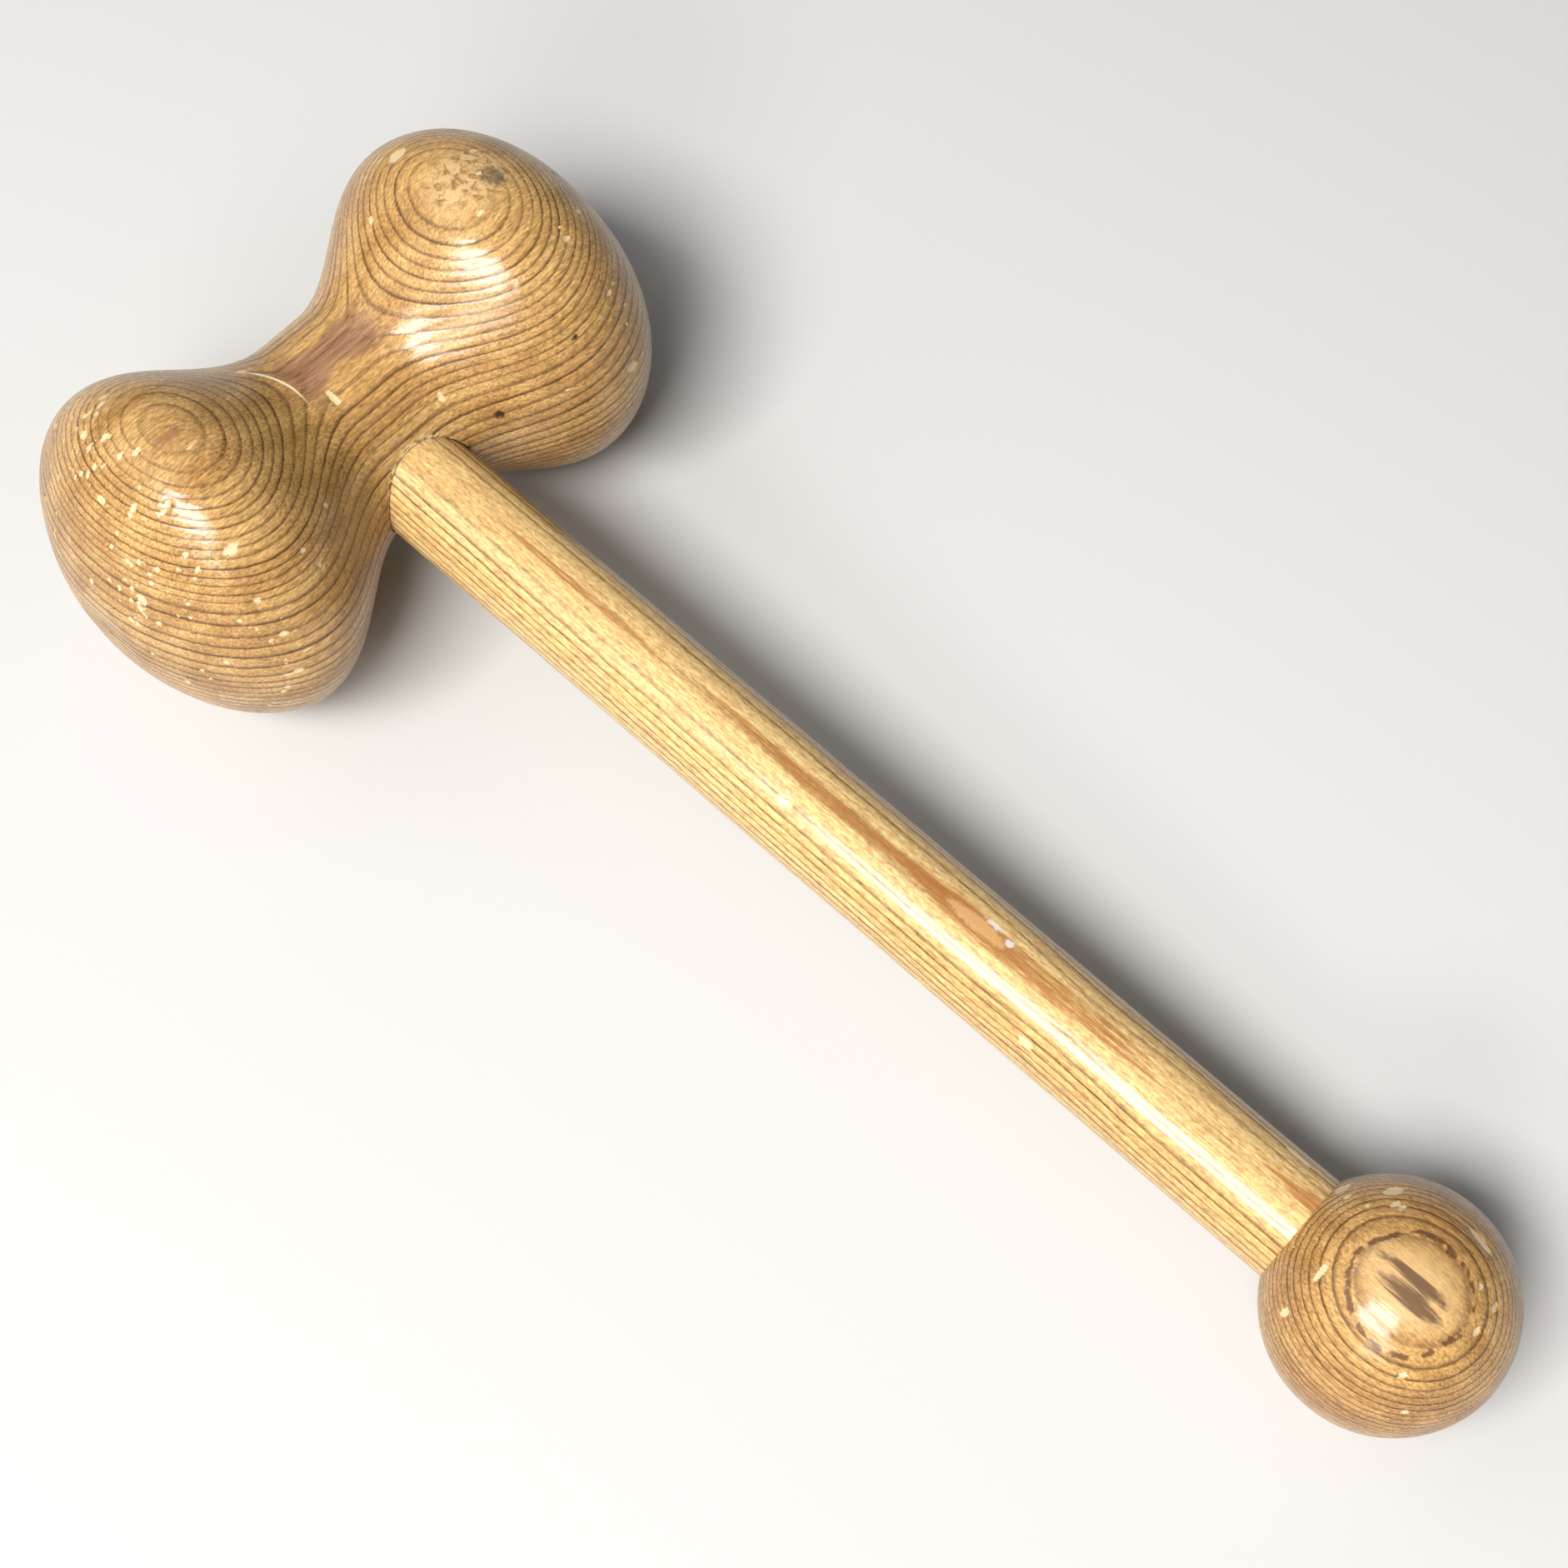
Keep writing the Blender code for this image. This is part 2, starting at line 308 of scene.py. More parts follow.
# %% Place the dents
PALE = {
    "head": [
        ((26, -57, 39), (1.3, 2.8, 1.3)), ((23, -66, 36), (0.9, 2.4, 1.2)),
        ((34.5, -71.5, 12), (1.6, 0.7, 1.8)),
        ((21.6, 13.5, 19.8), (1.2, 0.9, 5.0)), ((28, -30, 28), (0.9, 1.1, 0.9)),
        ((7, -7.8, 27.6), (3.2, 1.0, 2.0)),
        ((16.7, 68, 37.5), (1.0, 1.3, 1.0)), ((33, 34, 28), (1.0, 1.2, 0.9)),
        ((-15, -18.5, 27), (1.2, 1.8, 1.8)),
        ((-21, -60, 40), (1.6, 1.4, 1.4)), ((-6, -69, 39), (1.8, 1.4, 1.3)),
        ((13, -76.5, 24), (1.8, 1.1, 2.0)),
        ((-10, -64, 44), (1.5, 2.4, 1.4)), ((3, -66, 42), (1.1, 2.2, 1.2)), ((46, 57, 11), (0.8, 3.4, 1.6)),
        ((-20, 30, 36), (1.6, 2.8, 1.4)), ((-27, 48, 40), (2.4, 3.4, 2.0)), ((-27, -50, 41), (1.7, 3.0, 1.7)),
    ],
    "handle": [
        ((158, -6.4, 12.4), (1.6, 1.2, 1.0)), ((237, -11.6, 7.8), (2.6, 1.0, 1.4)),
        ((120, 11.5, 8.0), (1.8, 0.7, 0.8)),
        ((300, 9.0, 10.5), (4.0, 0.9, 1.0)), ((74, -12, -7), (2.0, 0.9, 1.1)), ((205, -10, -9.6), (3.0, 0.8, 1.0)),
    ],
    "ball": [
        ((-15.4, 14, 20.8), (2.2, 3.2, 1.6)), ((-16.1, -21.3, 12.3), (1.1, 1.2, 3.0)),
        ((-15.6, -12.3, 21.7), (0.9, 3.4, 2.4)),
        ((-24.1, 9.3, 14.1), (1.6, 3.0, 2.0)), ((14, -20, -15), (1.8, 1.4, 1.6)), ((6, 17, 23), (4.6, 1.6, 1.4)),
    ],
}


def scatter(seed, amount, centre, size, low, high, around=(0, 0, 0), within=1000.0):
    """Small seeded dents on an egg round the centre, where low < y < high and near enough to `around`."""
    rng = random.Random(seed)
    dents = []
    while len(dents) < amount:
        way = Vector([rng.gauss(0, 1) for _ in range(3)]).normalized()
        spot = Vector([c + w * r for c, w, r in zip(centre, way, size)])
        if low < spot.y < high and (spot - Vector(around)).length < within:
            wide = rng.uniform(0.45, 1.0)
            dents.append((tuple(spot), (wide, wide * rng.uniform(1.0, 2.6), wide)))
    return dents


LOBE = lobe_radius / MM
SMALL = {
    "head": scatter(3, 130, (0, -50, 0), (LOBE, 32.5, LOBE), -81, -56)
    + scatter(13, 90, (-10, -52, 6), (LOBE * 0.97, 31.5, LOBE * 0.88), -80, -60)
    + scatter(21, 30, (0, -50, 0), (LOBE, 32.5, LOBE), -82, -55, (14, -76, 23), 12)
    + scatter(22, 20, (0, -50, 0), (LOBE, 32.5, LOBE), -82, -50, (-21, -61, 39), 10)
    + scatter(5, 70, (0, 50, 0), (LOBE, 33.0, LOBE), 58, 81)
    + scatter(7, 22, (0, -50, 0), (LOBE, 32.5, LOBE), -58, -40)
    + scatter(8, 22, (0, 50, 0), (LOBE, 33.0, LOBE), 36, 60),
    "handle": [],
    "ball": scatter(11, 46, (0, 0, 0), (29.1, 29.4, 29.4), -30, 30),
}
MIDDLE = {"head": 0.0, "handle": 0.0, "ball": reach / MM}
DENT_REACH = 1.1


def bruises(piece, points):
    """How bruised each point is, from 0 to 1: 1 in the middle of a dent."""
    p = points / MM - np.array([MIDDLE[piece], 0.0, 0.0])
    most = np.zeros(len(p))
    for centre, radii in PALE[piece] + SMALL[piece]:
        q = (p - np.array(centre)) / (np.array(radii) * DENT_REACH)
        near = np.einsum("ij,ij->i", q, q)
        most = np.maximum(most, np.exp(-(near ** 2)))
    return most


def dent(obj, piece, depth):
    points, normals = read_points(obj), read_normals(obj)
    write_points(obj, points - normals * (bruises(piece, points) * depth)[:, None])


def store_bruises(obj, piece):
    layer = obj.data.attributes.new("bruise", "FLOAT", "POINT")
    layer.data.foreach_set("value", bruises(piece, read_points(obj)).astype(np.float32))


dent(head, "head", 0.30 * MM)
dent(handle, "handle", 0.20 * MM)
dent(ball, "ball", 0.28 * MM)
print("dents:", {piece: len(PALE[piece]) + len(SMALL[piece]) for piece in PALE})

# %% [markdown]
# ## Boring and wedging
# The head has a through hole for the handle, oval at its far mouth, and the ball has a blind one. A Boolean with
# a slightly larger bar cuts both, just as the drill does. Two more saw the slots for the wedges, one in each end
# of the handle. A block with the head's own shape taken out of it then trims the handle and the wedge nearly
# flush with the back of the waist.

# %% Cut the holes and the slots
def cut(obj, cutter):
    make_active(obj)
    boolean = obj.modifiers.new("cut", "BOOLEAN")
    boolean.operation = "DIFFERENCE"
    boolean.solver = "EXACT"
    boolean.object = cutter
    bpy.ops.object.modifier_apply(modifier=boolean.name)


def remove(*objects):
    for obj in objects:
        bpy.data.objects.remove(obj, do_unlink=True)


def taper_block(name, near, far, near_thick, far_thick, width):
    """A block from near to far along X, thick along Y, made from a cube whose far end is scaled in edit mode."""
    start_clean()
    bpy.ops.mesh.primitive_cube_add(size=1.0, location=((near + far) / 2, 0, 0))
    block = bpy.context.active_object
    block.name = name
    block.scale = (abs(far - near), near_thick, width)
    bpy.ops.object.transform_apply(location=True, rotation=True, scale=True)
    bpy.ops.object.mode_set(mode="EDIT")
    bpy.ops.mesh.select_all(action="DESELECT")
    bpy.ops.object.mode_set(mode="OBJECT")
    for vertex in block.data.vertices:
        vertex.select = abs(vertex.co.x - far) < 1e-6
    bpy.ops.object.mode_set(mode="EDIT")
    bpy.ops.transform.resize(value=(1.0, far_thick / near_thick, 1.0), center_override=(far, 0, 0))
    bpy.ops.object.mode_set(mode="OBJECT")
    return block


KERF_DEPTH = 26.0 * MM
SAW_CUT = 1.6 * MM
kerf_end = -WAIST + KERF_DEPTH
# The slot's length in round figures, which sets how wide its mouth is
SLOT_LENGTH = 38.0 * MM
mouth_thick = SAW_CUT + 2 * SPREAD * SLOT_LENGTH / KERF_DEPTH
hole = turned("hole", "X", bar_rings(GAP, -40 * MM, reach + 8.0 * MM, 12 * MM), 96, 0)
cut(head, hole)
cut(ball, hole)
slot = taper_block("slot", -40 * MM, kerf_end, mouth_thick, SAW_CUT, 60 * MM)
cut(handle, slot)
BALL_KERF_DEPTH = 18.0 * MM
BALL_SPREAD = 0.7 * MM
past_end = 2.0 * MM
ball_mouth = SAW_CUT + 2 * BALL_SPREAD * (BALL_KERF_DEPTH + past_end) / BALL_KERF_DEPTH
ball_kerf_end = HANDLE_END - BALL_KERF_DEPTH
ball_slot = taper_block("ball_slot", HANDLE_END + past_end, ball_kerf_end, ball_mouth, SAW_CUT, 60 * MM)
cut(handle, ball_slot)
WEDGE_SHORT = 3.0 * MM
WEDGE_WIDTH = 27.0 * MM
wedge_thick, wedge_tip = mouth_thick - 0.8 * MM, SAW_CUT - 0.4 * MM
wedge = taper_block("hardwood_wedge", -38 * MM, kerf_end - WEDGE_SHORT, wedge_thick, wedge_tip, WEDGE_WIDTH)

start_clean()
bpy.ops.mesh.primitive_cube_add(size=1.0, location=(-30 * MM, 0, 0))
waste = bpy.context.active_object
waste.scale = (50 * MM, 60 * MM, 60 * MM)
bpy.ops.object.transform_apply(location=True, rotation=True, scale=True)
# The trimmed ends stand this far out from the waist
PROUD = 0.15 * MM
rings = [(-along, radius + PROUD, radius + PROUD) for along, radius in left]
rings += [(along, radius + PROUD, radius + PROUD) for along, radius in reversed(right)]
core = turned("core", "Y", rings, 96, 1)
cut(waste, core)
cut(handle, waste)
cut(wedge, waste)
remove(hole, slot, ball_slot, waste, core)
for obj, piece in ((head, "head"), (handle, "handle"), (ball, "ball")):
    store_bruises(obj, piece)
for obj in (head, handle, ball, wedge):
    print(count(obj))

# %% [markdown]
# ## Node shorthand
# A wood material is mostly arithmetic on a position, so a small class gives the nodes short names. Each call adds
# one node and returns its output, and a value can be a number or another node's output.

# %% Shorthand for material nodes
class Nodes:
    def __init__(self, name):
        self.material = bpy.data.materials.new(name)
        self.material.use_nodes = True
        self.tree = self.material.node_tree
        self.shader = self.tree.nodes["Principled BSDF"]

    def put(self, socket, value):
        if isinstance(value, bpy.types.NodeSocket):
            self.tree.links.new(value, socket)
        else:
            socket.default_value = value

    def add(self, kind, inputs=None, **settings):
        made = self.tree.nodes.new(kind)
        for key, value in settings.items():
            setattr(made, key, value)
        for key, value in (inputs or {}).items():
            self.put(made.inputs[key], value)
        return made

    def calc(self, operation, *values):
        return self.add("ShaderNodeMath", dict(enumerate(values)), operation=operation).outputs[0]

    def dot(self, vector, direction):
        made = self.add("ShaderNodeVectorMath", {0: vector, 1: direction}, operation="DOT_PRODUCT")
        return made.outputs["Value"]

    def times(self, vector, factors):
        return self.add("ShaderNodeVectorMath", {0: vector, 1: factors}, operation="MULTIPLY").outputs[0]

    def plus(self, vector, other):
        return self.add("ShaderNodeVectorMath", {0: vector, 1: other}, operation="ADD").outputs[0]

    def noise(self, vector, scale=1.0, detail=2.0, roughness=0.5, distortion=0.0):
        inputs = {"Vector": vector, "Scale": scale, "Detail": detail}
        inputs.update({"Roughness": roughness, "Distortion": distortion})
        return self.add("ShaderNodeTexNoise", inputs).outputs["Fac"]

    def line_noise(self, value, scale=1.0, detail=0.0):
        inputs = {"W": value, "Scale": scale, "Detail": detail}
        return self.add("ShaderNodeTexNoise", inputs, noise_dimensions="1D").outputs["Fac"]

    def spread(self, value, low, high, to_low=0.0, to_high=1.0):
        inputs = {"Value": value, "From Min": low, "From Max": high, "To Min": to_low, "To Max": to_high}
        return self.add("ShaderNodeMapRange", inputs, interpolation_type="SMOOTHSTEP").outputs["Result"]

    def ramp(self, value, stops):
        made = self.add("ShaderNodeValToRGB", {"Fac": value})
        for index, (place, level) in enumerate(stops):
            stop = made.color_ramp.elements[index] if index < 2 else made.color_ramp.elements.new(place)
            stop.position = place
            colour = (level, level, level) if isinstance(level, float) else level
            stop.color = (*colour, 1.0)
        return made.outputs["Color"]

    def mix(self, factor, first, second, blend="MIX"):
        def full(colour):
            return (*colour, 1.0) if isinstance(colour, tuple) else colour
        inputs = {0: factor, 6: full(first), 7: full(second)}
        return self.add("ShaderNodeMix", inputs, data_type="RGBA", blend_type=blend).outputs[2]


# %% [markdown]
# ## Pine
# The ring number is worked out again in nodes, from the same values as the grooves. Its fraction says how far
# through a year's growth a point is, and a colour ramp turns that into a thin dark line with one sharp edge and
# one that fades. Fine noise stretched along the grain makes the fibres, and slow noise varies the tint.

# %% A pine material
FIBRE = 0.7
SPACING_NOISE = 0.25
WANDER = 0.35


def pine(name, piece, grain, early, amber, late):
    n = Nodes(name)
    place = n.add("ShaderNodeTexCoord").outputs["Object"]
    level = n.add("ShaderNodeMapping", {"Vector": place}, vector_type="TEXTURE")
    level.inputs["Location"].default_value = head_centre
    level.inputs["Rotation"].default_value = (0.0, slope, 0.0)
    level.inputs["Scale"].default_value = (MM, MM, MM)
    sheet = RINGS[piece]
    p = n.plus(level.outputs[0], (-sheet["middle"], 0.0, 0.0))
    axes = n.add("ShaderNodeSeparateXYZ", {0: p}).outputs
    x, y = axes[0], axes[1]

    # Stretched coordinates: slow along the grain, quick across it
    along = (0.035, 1.0, 1.0) if grain == "X" else (1.0, 0.035, 1.0)
    fibres = n.times(p, along)

    depth = n.calc("ADD", n.dot(p, sheet["facing"]), n.calc("MULTIPLY", x, n.dot(p, sheet["bend"])))
    depth = n.calc("ADD", depth, n.calc("MULTIPLY", n.calc("MULTIPLY", y, y), sheet["bow"]))
    where, width, dip = sheet["swirl"]
    if dip:
        offset = n.calc("DIVIDE", n.calc("SUBTRACT", x, where), width)
        bell = n.calc("EXPONENT", n.calc("MULTIPLY", n.calc("MULTIPLY", offset, offset), -1.0))
        depth = n.calc("ADD", depth, n.calc("MULTIPLY", bell, dip))
    slow = n.noise(n.times(fibres, (0.06, 0.06, 0.06)), detail=1.0)
    depth = n.calc("ADD", depth, n.calc("MULTIPLY", n.calc("SUBTRACT", slow, 0.5), WANDER))
    number = n.calc("DIVIDE", n.calc("SUBTRACT", depth, sheet["first"]), sheet["apart"])
    for knee, more in sheet["knees"]:
        past = n.calc("MAXIMUM", n.calc("SUBTRACT", depth, knee), 0.0)
        number = n.calc("MULTIPLY_ADD", past, more, number)
    short = n.calc("MAXIMUM", n.calc("SUBTRACT", sheet["under"][0], depth), 0.0)
    number = n.calc("MULTIPLY_ADD", short, -sheet["under"][1], number)
    uneven = n.calc("SUBTRACT", n.line_noise(number, 0.6), 0.5)
    number = n.calc("ADD", number, n.calc("MULTIPLY", uneven, SPACING_NOISE))

    ripple = n.calc("MULTIPLY", n.calc("SUBTRACT", n.noise(fibres, 0.9, 3.0), 0.5), 0.16)
    phase = n.calc("FRACT", n.calc("ADD", n.calc("ADD", number, ripple), 0.5))
    dark = n.ramp(phase, LINE)
    year = n.calc("FLOOR", n.calc("ADD", number, 0.5))
    strength = n.spread(n.line_noise(year, 3.7), 0.25, 0.75, 0.68, 1.0)
    patchy = n.spread(n.noise(n.times(fibres, (0.25, 0.25, 0.25)), detail=2.0), 0.3, 0.6, 0.78, 1.0)
    dark = n.calc("MULTIPLY", n.calc("MULTIPLY", dark, strength), patchy)
    facing = Vector(sheet["facing"]).normalized()
    surface = n.add("ShaderNodeTexCoord").outputs["Normal"]
    flat = n.calc("ABSOLUTE", n.dot(surface, lie.to_3x3() @ facing))
    dark = n.calc("MULTIPLY", dark, n.spread(flat, 0.84, 0.995, 1.0, 0.55))

    tint = n.spread(n.noise(n.times(fibres, (0.11, 0.11, 0.11)), detail=2.0), 0.32, 0.68, 0.05, 0.70)
    body = n.mix(tint, early, amber)
    wood = n.mix(dark, body, late)
    streak = n.noise(fibres, 2.6, 4.0, 0.65)
    wood = n.mix(FIBRE, wood, n.ramp(streak, [(0.25, 0.22), (0.75, 0.78)]), "OVERLAY")
    fleck = n.noise(n.times(p, tuple(max(a, 0.3) for a in along)), 1.5, 4.0, 0.72)
    wood = n.mix(0.75, wood, n.ramp(fleck, [(0.34, 0.22), (0.50, 0.50), (0.66, 0.76)]), "OVERLAY")
    return n, p, fibres, dark, wood


EARLY = (0.55, 0.335, 0.125)
AMBER = (0.31, 0.150, 0.040)
LATE = (0.080, 0.031, 0.008)
RAW = (0.76, 0.60, 0.36)
LINE = [(0.0, 0.0), (0.36, 0.04), (0.45, 1.0), (0.53, 0.85), (0.74, 0.10)]


def mark(n, p, centre, radii, ragged=0.5, edge=0.35, tear=None):
    """1 inside an egg of those radii round the centre, in millimetres. Its ragged edge follows `tear`, or p."""
    middle = n.plus(p, tuple(-c for c in centre))
    egg = n.times(middle, tuple(1 / r for r in radii))
    far = n.add("ShaderNodeVectorMath", {0: egg}, operation="LENGTH").outputs["Value"]
    torn = n.calc("MULTIPLY", n.calc("SUBTRACT", n.noise(tear or p, 0.9, 3.0, 0.6), 0.5), ragged * 2)
    return n.spread(n.calc("ADD", far, torn), 1.0 + edge, 1.0 - edge)


def varnish(n, wood, dark, fibres, rough, coat, coat_rough, relief):
    """The chips, then the shader. The clear coat is even, and a chip is paler, rougher and lower."""
    bruise = n.add("ShaderNodeAttribute", attribute_name="bruise").outputs["Fac"]
    torn = n.calc("SUBTRACT", n.noise(n.times(fibres, (1.0, 1.6, 1.0)), 1.3, 3.0, 0.7), 0.5)
    chip = n.spread(n.calc("ADD", bruise, n.calc("MULTIPLY", torn, 1.1)), 0.52, 0.74)
    chip = n.calc("MULTIPLY", chip, n.spread(bruise, 0.04, 0.16))
    wood = n.mix(n.calc("MULTIPLY", chip, 0.75), wood, RAW)
    shader = n.shader
    n.put(shader.inputs["Base Color"], wood)
    grit = n.noise(fibres, 1.7, 3.0, 0.6)
    dull = n.spread(grit, 0.3, 0.7, rough - 0.06, rough + 0.08)
    n.put(shader.inputs["Roughness"], n.calc("MULTIPLY_ADD", chip, 0.25, dull))
    shader.inputs["Coat Weight"].default_value = coat
    shader.inputs["Coat Roughness"].default_value = coat_rough
    shader.inputs["IOR"].default_value = 1.45
    shader.inputs["Specular IOR Level"].default_value = 0.2
    pores = n.calc("MULTIPLY", n.noise(fibres, 2.2, 4.0, 0.6), 0.75)
    height = n.calc("MULTIPLY_ADD", dark, -0.6, pores)
    height = n.calc("MULTIPLY_ADD", chip, -0.7, height)
    bump = n.add("ShaderNodeBump", {"Height": height, "Strength": 1.0, "Distance": relief})
    film = n.add("ShaderNodeBump", {"Height": height, "Strength": 1.0, "Distance": relief * 0.35})
    n.put(shader.inputs["Normal"], bump.outputs[0])
    n.put(shader.inputs["Coat Normal"], film.outputs[0])
    return n.material


# %% [markdown]
# ## The head's own marks
# On the right crown the cut just skims a knot: a pale blotchy oval with a grey knot in it, where no rings show.
# The flat-cut late wood on the waist is a dull purple-brown, the mouth of the hole has torn grain, and an old
# scratch curls round the left neck. The left lobe's inner neck is darkened by painted shade and tinted khaki,
# partly the wood's own greenish tint.

# %% The head's pine
n, p, fibres, dark, wood = pine("head_pine_varnished", "head", "Y", EARLY, AMBER, LATE)
blotch = n.ramp(n.noise(p, 0.45, 4.0, 0.7, 0.6), [(0.38, (0.27, 0.135, 0.045)), (0.54, (0.64, 0.43, 0.20))])
wood = n.mix(n.calc("MULTIPLY", mark(n, p, (-5.0, 52.5, 48.0), (9.5, 12.5, 7.0), 0.35), 0.85), wood, blotch)
knot = mark(n, p, (-0.3, 57.0, 48.0), (3.4, 3.4, 4.0), 1.1, 0.5)
wood = n.mix(n.calc("MULTIPLY", knot, 0.78), wood, (0.13, 0.095, 0.055))
axes = n.add("ShaderNodeSeparateXYZ", {0: p}).outputs
flare = n.calc("MULTIPLY_ADD", n.calc("MULTIPLY", axes[1], axes[1]), 0.018, 1.0)
narrowed = n.calc("DIVIDE", n.calc("ADD", axes[0], 3.8), flare)
waist = n.add("ShaderNodeCombineXYZ", {0: narrowed, 1: axes[1], 2: axes[2]})
skim = mark(n, waist.outputs[0], (0.0, 0.0, 28.6), (4.6, 14.0, 4.0), 0.35, 0.22, tear=fibres)
plum = [(0.34, (0.13, 0.055, 0.028)), (0.66, (0.40, 0.21, 0.115))]
sheet = n.ramp(n.noise(n.times(fibres, (0.8, 1.6, 0.8)), 1.0, 4.0, 0.7), plum)
wood = n.mix(n.calc("MULTIPLY", skim, 0.88), wood, sheet)
entry = mark(n, p, (24.0, 0.0, 0.0), (12.0, 15.2, 15.2), 0.10, 0.04)
torn_colours = [(0.42, (0.16, 0.07, 0.02)), (0.55, (0.80, 0.60, 0.32))]
ragged = n.ramp(n.noise(n.times(p, (1.0, 0.5, 1.6)), 1.0, 3.0), torn_colours)
wood = n.mix(n.calc("MULTIPLY", entry, 0.75), wood, ragged)
heart = mark(n, p, (-1.8, -48.5, 48.4), (1.6, 3.2, 3.0), 0.9, 0.5)
wood = n.mix(n.calc("MULTIPLY", heart, 0.8), wood, (0.30, 0.13, 0.06))
# Painted shade: the left lobe's inner neck is multiplied darker and khaki, partly its own tint, partly shade.
painted_neck_shade = mark(n, p, (18.0, -26.0, 26.0), (30.0, 12.0, 22.0), 0.3, 0.6)
wood = n.mix(n.calc("MULTIPLY", painted_neck_shade, 0.45), wood, (0.60, 0.64, 0.36), "MULTIPLY")
curl = n.calc("MULTIPLY", n.calc("POWER", n.calc("ADD", axes[0], -1.0), 2.0), 0.0205)
bent = n.add("ShaderNodeCombineXYZ", {1: curl}).outputs[0]
scratch = mark(n, n.plus(p, bent), (-6.5, -13.4, 28.0), (10.5, 0.42, 4.0), 0.12, 0.3)
wood = n.mix(n.calc("MULTIPLY", scratch, 0.85), wood, (0.92, 0.80, 0.56))
SPECKS = (
    ((32.5, 22.5, 12.5), (1.2, 1.6, 1.2)),
    ((38.2, 45.1, 28.7), (0.7, 0.9, 0.7)),
    ((35.0, -46.0, -18.0), (1.0, 1.2, 1.0)),
)
for spot, radii in SPECKS:
    wood = n.mix(mark(n, p, spot, radii, 0.8), wood, (0.045, 0.022, 0.012))
head_material = varnish(n, wood, dark, fibres, 0.44, 0.58, 0.11, 0.15 * MM)

# %% [markdown]
# ## The handle's and the ball's own marks
# The handle is paler wood. One late-wood sheet just skims its top, which gives the long red-brown streak, and
# it has a silvery scuff. The ball is darker: two dark stripes lie in the middle of its target, inside a jagged
# broken ring.

# %% The handle's and the ball's pine
HANDLE_EARLY = (0.67, 0.460, 0.200)
HANDLE_AMBER = (0.53, 0.320, 0.110)
HANDLE_LATE = (0.120, 0.048, 0.012)
n, p, fibres, dark, wood = pine("handle_pine_varnished", "handle", "X", HANDLE_EARLY, HANDLE_AMBER, HANDLE_LATE)
RED = (0.34, 0.135, 0.035)
# Each streak's start and end along the handle, how far it lies to the side, and how wide it is
STREAKS = ((52, 110, 0.5, 1.0), (130, 226, 1.0, 1.7), (186, 262, 0.8, 3.1), (300, 330, 1.6, 2.6))
for start, end, side, wide in STREAKS:
    half = (end - start) / 2
    streak = mark(n, p, ((start + end) / 2 - 180.0, side, 14.0), (half, wide, 2.5), 1.1, 0.22, tear=fibres)
    grain = n.spread(n.noise(fibres, 3.0, 3.0, 0.7), 0.35, 0.60, 0.35, 0.9)
    wood = n.mix(n.calc("MULTIPLY", streak, grain), wood, RED)
island = mark(n, p, (31.0, 1.0, 14.0), (8.5, 1.7, 2.0), 0.5, 0.25)
wood = n.mix(n.calc("MULTIPLY", island, 0.7), wood, (0.62, 0.37, 0.16))
for spot, radii in (((34.5, 3.6, 13.6), (2.6, 0.7, 1.0)), ((39.5, 2.4, 13.8), (1.3, 1.0, 1.0))):
    wood = n.mix(n.calc("MULTIPLY", mark(n, p, spot, radii, 1.0), 0.7), wood, (0.72, 0.72, 0.72))
handle_material = varnish(n, wood, dark, fibres, 0.40, 0.52, 0.13, 0.08 * MM)

BALL_EARLY = (0.52, 0.305, 0.108)
BALL_AMBER = (0.29, 0.132, 0.034)
n, p, fibres, dark, wood = pine("ball_pine_varnished", "ball", "X", BALL_EARLY, BALL_AMBER, LATE)
pith = mark(n, p, (1.0, -3.5, 28.6), (12.0, 8.0, 4.0), 0.5, 0.6, tear=fibres)
wood = n.mix(n.calc("MULTIPLY", pith, 0.55), wood, (0.80, 0.55, 0.27))
for spot, radii in (((0.8, -1.8, 28.6), (9.0, 1.5, 2.5)), ((1.6, -5.6, 28.1), (8.4, 1.9, 2.5))):
    stripe = mark(n, p, spot, radii, 0.9, 0.35, tear=fibres)
    wood = n.mix(n.calc("MULTIPLY", stripe, 0.88), wood, (0.10, 0.05, 0.025))
drift = n.calc("MULTIPLY", n.calc("SUBTRACT", n.noise(p, 0.10, 2.0), 0.5), 2.4)
along_rings = n.dot(p, Vector(RINGS["ball"]["facing"]).normalized())
off = n.calc("ABSOLUTE", n.calc("ADD", n.calc("SUBTRACT", along_rings, 26.0), drift))
jagged = n.spread(n.calc("MULTIPLY_ADD", n.noise(p, 1.0, 3.0, 0.6), 0.9, off), 0.95, 0.6)
jagged = n.calc("MULTIPLY", jagged, n.spread(n.noise(p, 0.30, 1.0), 0.42, 0.5))
wood = n.mix(n.calc("MULTIPLY", jagged, 0.85), wood, (0.10, 0.04, 0.018))
ball_material = varnish(n, wood, dark, fibres, 0.44, 0.58, 0.11, 0.15 * MM)

n = Nodes("wedge_beech_sawn")
place = n.add("ShaderNodeTexCoord").outputs["Object"]
flecks = n.noise(n.times(place, (2200.0, 900.0, 2200.0)), 1.0, 3.0, 0.6)
n.put(n.shader.inputs["Base Color"], n.ramp(flecks, [(0.3, (0.30, 0.15, 0.06)), (0.7, (0.56, 0.34, 0.17))]))
n.shader.inputs["Roughness"].default_value = 0.7
wedge_material = n.material
print("materials:", [m.name for m in (head_material, handle_material, ball_material, wedge_material)])

# %% [markdown]
# ## Lay the mallet down
# The level mallet is turned and moved onto the floor, and the transform is applied, so that each piece's place is
# in its mesh. Each new piece replaces its CAD node and rides on the one body. The wedge in the ball is out of
# sight, so its CAD node stays and only gets the beech.

# %% Finish the pieces
def finish(obj, material, node, angle=32):
    obj.data.materials.clear()
    obj.data.materials.append(material)
    obj.matrix_world = lie
    make_active(obj)
    bpy.ops.object.transform_apply(location=True, rotation=True, scale=True)
    bpy.ops.object.shade_smooth_by_angle(angle=math.radians(angle))
    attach(obj, "root")
    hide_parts(node)


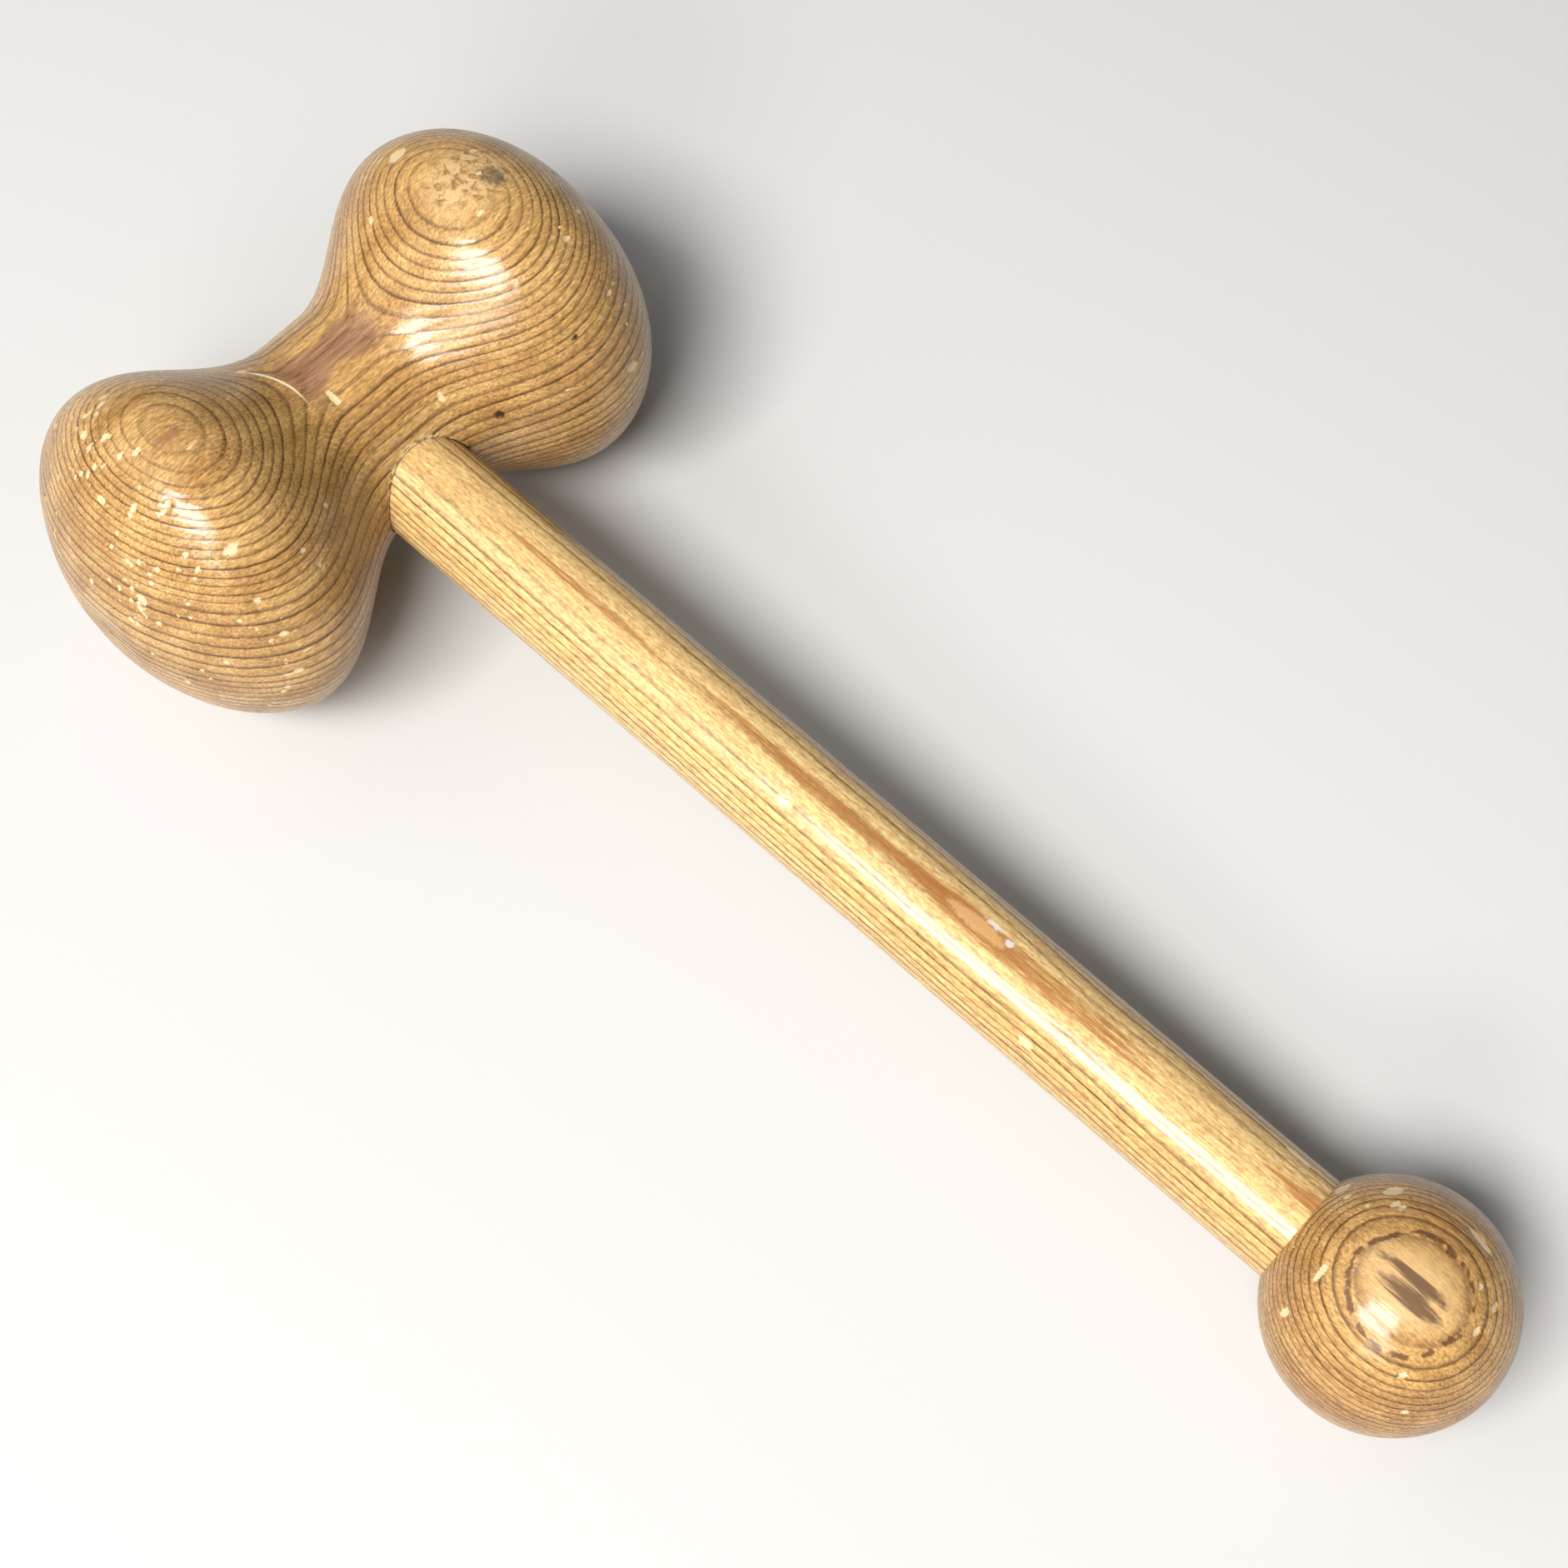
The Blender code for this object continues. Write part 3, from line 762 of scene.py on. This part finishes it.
finish(head, head_material, "head")
finish(handle, handle_material, "handle")
finish(ball, ball_material, "pommel_ball")
finish(wedge, wedge_material, "head_wedge")
hidden_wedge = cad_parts["pommel_wedge"]
hidden_wedge.data.materials.clear()
hidden_wedge.data.materials.append(wedge_material)

# %% [markdown]
# ## Floor
# The floor is one large, plain, pale plane just under the mallet.

# %% The floor
start_clean()
FLOOR_SIZE = 8.0
FLOOR_DROP = 0.2 * MM
bpy.ops.mesh.primitive_plane_add(size=FLOOR_SIZE, location=(0, 0, -FLOOR_DROP))
floor = bpy.context.active_object
floor.name = "floor"
paper = bpy.data.materials.new("pale_floor")
paper.use_nodes = True
paper_shader = paper.node_tree.nodes["Principled BSDF"]
paper_shader.inputs["Base Color"].default_value = (0.56, 0.56, 0.555, 1)
paper_shader.inputs["Roughness"].default_value = 0.9
floor.data.materials.append(paper)


# %% [markdown]
# ## Light
# Area lights stand in for a wide window on the head's left, with a lower pane under it. They give the soft white
# highlights on the lobes, the handle and the ball. Two large weak ones and a dim sky fill the shadows. The
# Standard view transform keeps the varnish as rich as it is set.

# %% The lights
LIGHT_DISTANCE = 2.2
LIGHT_COLOUR = (1.0, 0.98, 0.95)
AIM = Vector((-0.02, 0, 0.04))


def pane(name, azimuth, elevation, width, height, strength):
    """An area light facing the mallet. Azimuth -90 is on the head's left, and elevation is above the floor."""
    data = bpy.data.lights.new(name, "AREA")
    data.shape = "RECTANGLE"
    data.size = width
    data.size_y = height
    data.energy = strength
    data.color = LIGHT_COLOUR
    light = bpy.data.objects.new(name, data)
    bpy.context.scene.collection.objects.link(light)
    a, e = math.radians(azimuth), math.radians(elevation)
    out = Vector((math.cos(e) * math.cos(a), math.cos(e) * math.sin(a), math.sin(e)))
    light.location = AIM + out * LIGHT_DISTANCE
    light.rotation_euler = (-out).to_track_quat("-Z", "Y").to_euler()


pane("window_top", -80, 56, 1.26, 0.70, 76)
pane("window_low", -66, 33, 0.88, 0.36, 14)
pane("sky_left", -140, 45, 2.0, 1.6, 8)
pane("sky_back", 170, 55, 2.0, 1.6, 3)
world = bpy.data.worlds.new("soft_sky")
bpy.context.scene.world = world
world.use_nodes = True
sky = world.node_tree.nodes["Background"]
sky.inputs["Color"].default_value = (0.95, 0.97, 1.0, 1)
sky.inputs["Strength"].default_value = 0.12
bpy.context.scene.view_settings.view_transform = "Standard"

# %% [markdown]
# ## Camera
# The camera looks down on the mallet from beside the handle, turned so that the head is at the upper left. Its
# place and directions are given on the level mallet, so `lie` tips it with the mallet.

# %% The camera
LENS = 62.1
forward = Vector((-0.26527, 0.31625, -0.91083))
right_hand = Vector((0.73476, 0.67799, 0.02141))
level_place = Vector((0.32384, -0.20582, 0.59621))
camera_data = bpy.data.cameras.new("camera")
camera_data.lens = LENS
camera_data.sensor_width = 36.0
camera_data.clip_start = 0.01
camera = bpy.data.objects.new("camera", camera_data)
bpy.context.scene.collection.objects.link(camera)
up = right_hand.cross(forward).normalized()
turn = Matrix((right_hand.normalized(), up, -forward.normalized())).transposed().to_4x4()
camera.matrix_world = lie @ Matrix.Translation(level_place) @ turn
bpy.context.scene.camera = camera
print("camera at", tuple(round(c, 3) for c in camera.matrix_world.translation))
